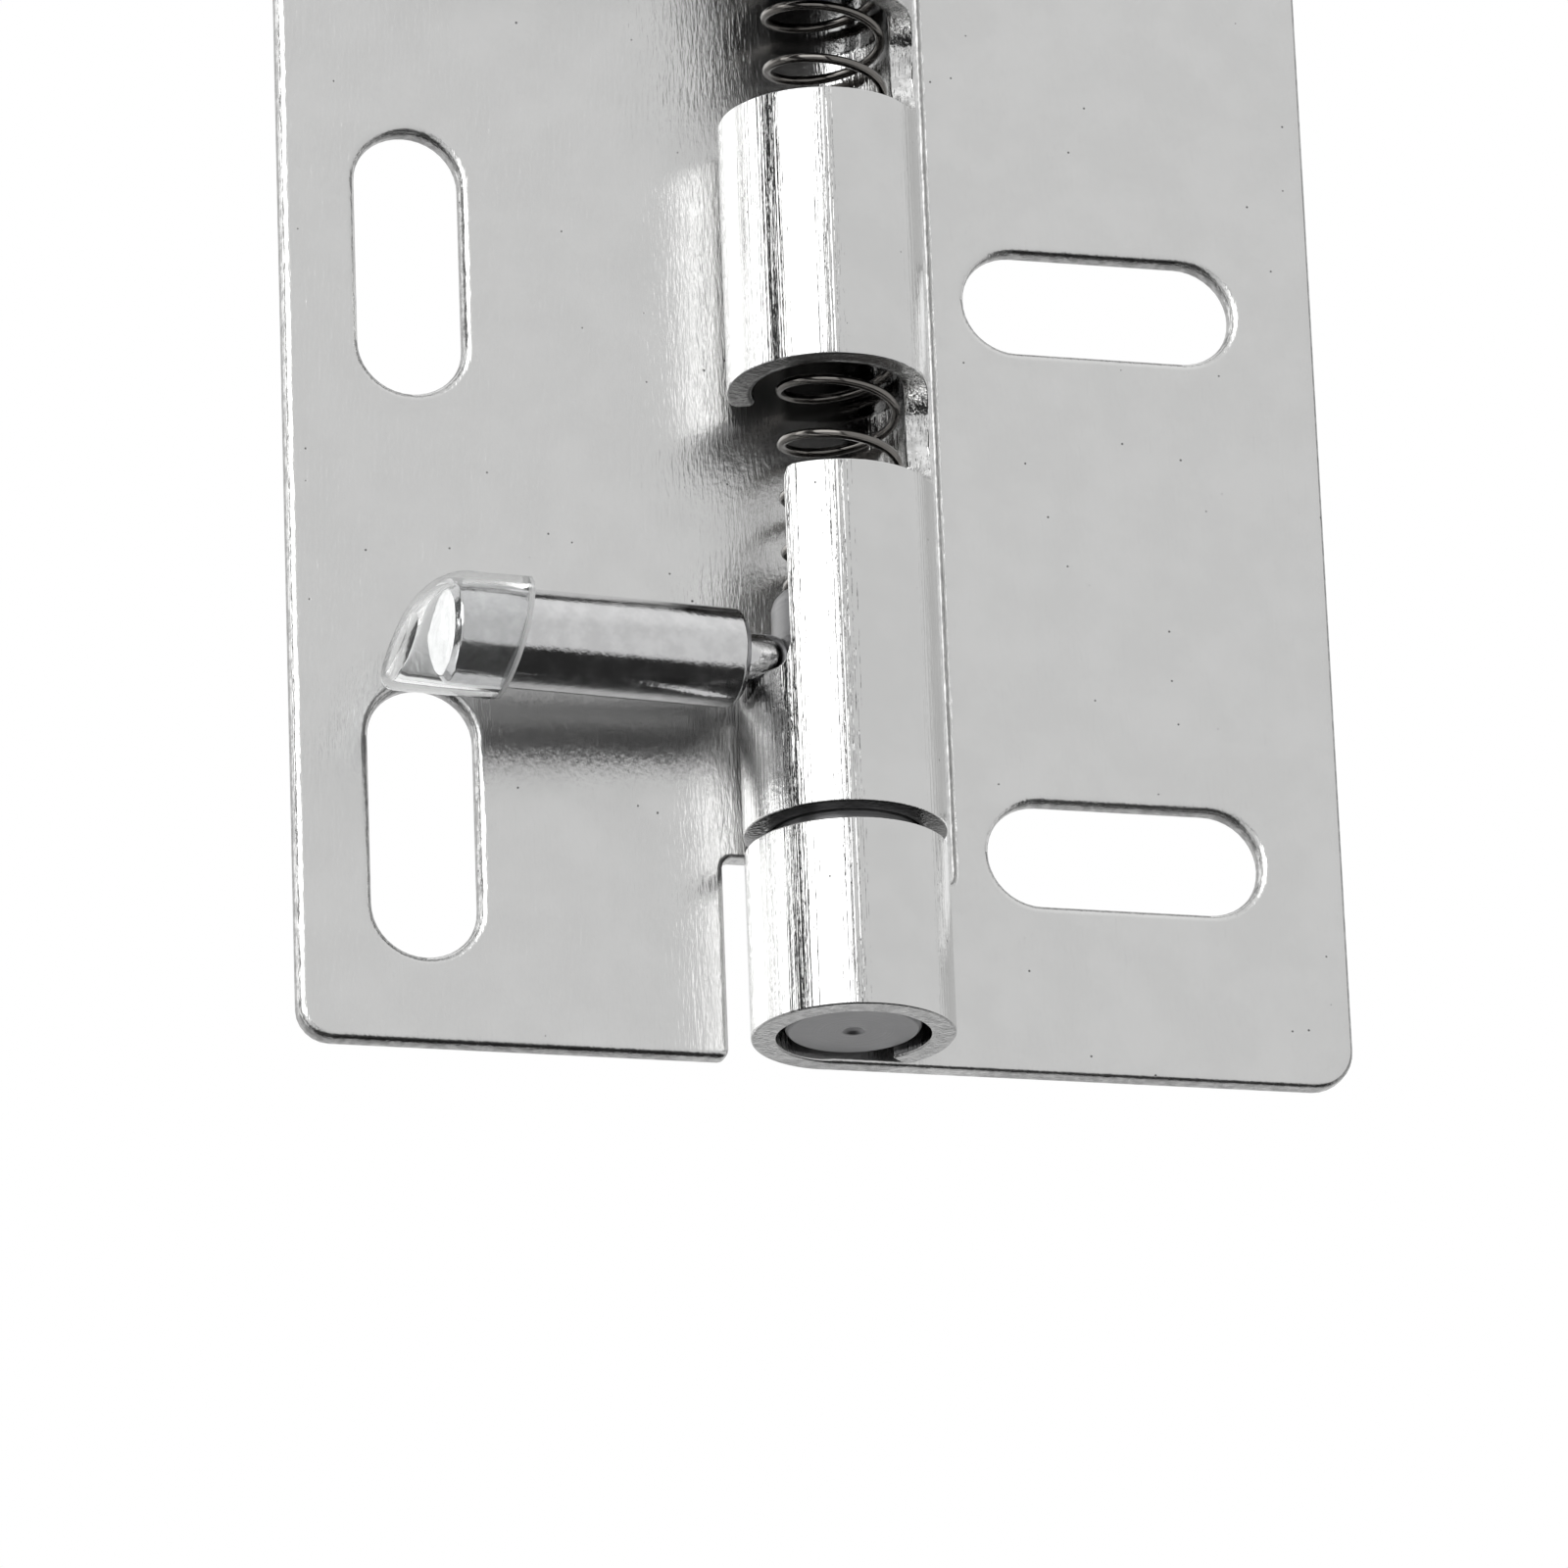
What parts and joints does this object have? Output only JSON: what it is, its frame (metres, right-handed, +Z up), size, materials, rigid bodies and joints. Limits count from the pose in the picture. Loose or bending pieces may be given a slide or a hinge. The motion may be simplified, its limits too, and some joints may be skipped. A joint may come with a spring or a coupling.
{
  "type": "spring loaded door hinge",
  "caption": "Rolled sheet-metal door hinge with slotted leaves and spring loaded pivot bolts that are drawn back by capped side handles to free one leaf.",
  "frame": {"origin": "on the pin axis at half the hinge's length, in the middle of the open hinge", "axes": "+Z up along the pin axis, +X from the pin axis across the right leaf, +Y towards the surface that the leaves are bolted to"},
  "size_m": [0.065, 0.0122, 0.1],
  "materials": {
    "plated_leaf": "bright zinc plated sheet, satin",
    "bolt_steel": "turned, plated",
    "handle_chrome": "turned, bright plated",
    "clear_cap": "clear soft vinyl, glossy",
    "spring_steel": "dark drawn spring wire"
  },
  "bodies": {
    "left_leaf": {"left_leaf": "plated_leaf", "bolt_spring": "spring_steel"},
    "right_leaf": {"right_leaf": "plated_leaf"},
    "lower_bolt": {"lower_bolt": "bolt_steel", "lower_handle": "handle_chrome", "lower_grip_cap": "clear_cap"},
    "upper_bolt": {"upper_bolt": "bolt_steel", "upper_handle": "handle_chrome", "upper_grip_cap": "clear_cap"}
  },
  "joints": [
    {"name": "leaf_hinge", "type": "hinge", "parent": "left_leaf", "child": "right_leaf", "pos_m": [0, 0, 0], "axis": [0, 0, 1], "range_deg": [-170, 90]},
    {"name": "lower_bolt_slide", "type": "slide", "parent": "left_leaf", "child": "lower_bolt", "axis": [0, 0, 1], "range_m": [0, 0.0158], "stiffness_N_per_m": 900, "springref_m": -0.012, "deforming": ["bolt_spring"]},
    {"name": "upper_bolt_slide", "type": "slide", "parent": "left_leaf", "child": "upper_bolt", "axis": [0, 0, -1], "range_m": [0, 0.0158], "stiffness_N_per_m": 900, "springref_m": -0.012, "deforming": ["bolt_spring"]}
  ]
}
